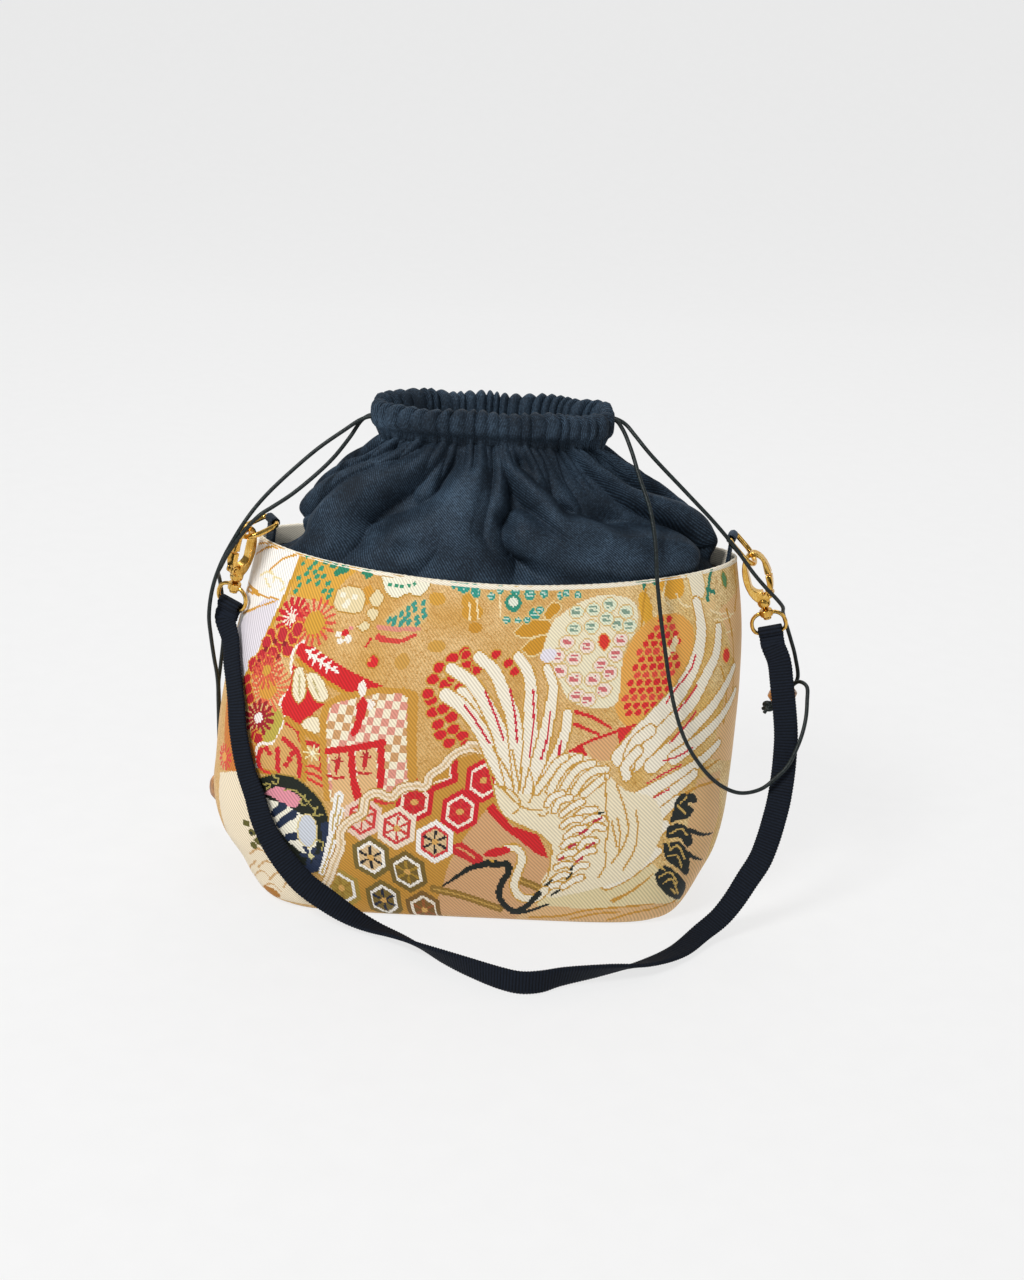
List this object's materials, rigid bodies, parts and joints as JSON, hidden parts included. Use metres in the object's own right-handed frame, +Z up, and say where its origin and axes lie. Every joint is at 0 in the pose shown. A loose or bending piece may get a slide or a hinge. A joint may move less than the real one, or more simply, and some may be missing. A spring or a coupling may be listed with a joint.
{
  "type": "kinchaku drawstring pouch",
  "caption": "Boxed-base fabric pouch with a gathered drawstring collar, beaded drawcords, and a webbing strap on swivel snap hooks clipped to side rings.",
  "frame": {"origin": "on the flat underside of the base, near its middle, at the height of the surface that the pouch stands on", "axes": "+Z up out of the mouth, +X towards the right side ring, -Y towards the front where the strap lies"},
  "size_m": [0.3089, 0.1844, 0.25],
  "materials": {
    "brocade": "woven brocade with gold thread, slightly raised figures",
    "lining_cloth": "plain smooth cloth",
    "collar_cloth": "navy twill with a soft sheen",
    "cord": "twisted round cord, slightly glossy",
    "bead_wood": "turned light wood, satin",
    "gold_metal": "polished gold-coloured plating",
    "webbing": "cross-ribbed navy webbing"
  },
  "bodies": {
    "bag": {"outer_shell": "brocade", "lining": "lining_cloth", "gathered_collar": "collar_cloth", "ring_tab_left": "collar_cloth", "ring_tab_right": "collar_cloth", "drawcord_left": "cord", "drawcord_right": "cord", "knot_left": "cord", "knot_right": "cord", "strap": "webbing"},
    "bead_l": {"bead_left": "bead_wood"},
    "bead_r": {"bead_right": "bead_wood"},
    "ring_l": {"side_ring_left": "gold_metal"},
    "ring_r": {"side_ring_right": "gold_metal"},
    "eye_l": {"swivel_eye_left": "gold_metal"},
    "eye_r": {"swivel_eye_right": "gold_metal"},
    "hook_l": {"hook_body_left": "gold_metal", "gate_pin_left": "gold_metal"},
    "hook_r": {"hook_body_right": "gold_metal", "gate_pin_right": "gold_metal"},
    "gate_l": {"hook_gate_left": "gold_metal"},
    "gate_r": {"hook_gate_right": "gold_metal"}
  },
  "joints": [
    {"name": "bead_left_slide", "type": "slide", "parent": "bag", "child": "bead_l", "axis": [0.0456, -0.3439, 0.9379], "range_m": [0, 0.012]},
    {"name": "bead_right_slide", "type": "slide", "parent": "bag", "child": "bead_r", "axis": [0.6667, 0, 0.7453], "range_m": [0, 0.002]},
    {"name": "ring_left_tilt", "type": "hinge", "parent": "bag", "child": "ring_l", "pos_m": [-0.1101, -0.0061, 0.1884], "axis": [0.423, -0.9061, 0], "range_deg": [0, 2]},
    {"name": "ring_right_tilt", "type": "hinge", "parent": "bag", "child": "ring_r", "pos_m": [0.1159, -0.0029, 0.1905], "axis": [0.2501, 0.9682, 0], "range_deg": [0, 2]},
    {"name": "eye_left_tilt", "type": "hinge", "parent": "bag", "child": "eye_l", "pos_m": [-0.13002, -0.01258, 0.1456], "axis": [0.8358, -0.4999, -0.227], "range_deg": [-1, 1]},
    {"name": "eye_right_tilt", "type": "hinge", "parent": "bag", "child": "eye_r", "pos_m": [0.13974, -0.00598, 0.1428], "axis": [0.9302, -0.1968, 0.3097], "range_deg": [-1, 1]},
    {"name": "hook_left_swivel", "type": "hinge", "parent": "eye_l", "child": "hook_l", "pos_m": [-0.12206, -0.01594, 0.18234], "axis": [0.2111, -0.089, 0.9734], "range_deg": [-12, 12]},
    {"name": "hook_right_swivel", "type": "hinge", "parent": "eye_r", "child": "hook_r", "pos_m": [0.12781, -0.00598, 0.17862], "axis": [-0.3159, 0, 0.9488], "range_deg": [-12, 12]},
    {"name": "gate_left_open", "type": "hinge", "parent": "hook_l", "child": "gate_l", "pos_m": [-0.12806, -0.01761, 0.16603], "axis": [-0.7687, 0.6, 0.2216], "range_deg": [0, 20], "stiffness_Nm_per_rad": 0.0005},
    {"name": "gate_right_open", "type": "hinge", "parent": "hook_r", "child": "gate_r", "pos_m": [0.13684, -0.00703, 0.16371], "axis": [-0.2492, -0.9649, -0.083], "range_deg": [0, 20], "stiffness_Nm_per_rad": 0.0005}
  ]
}
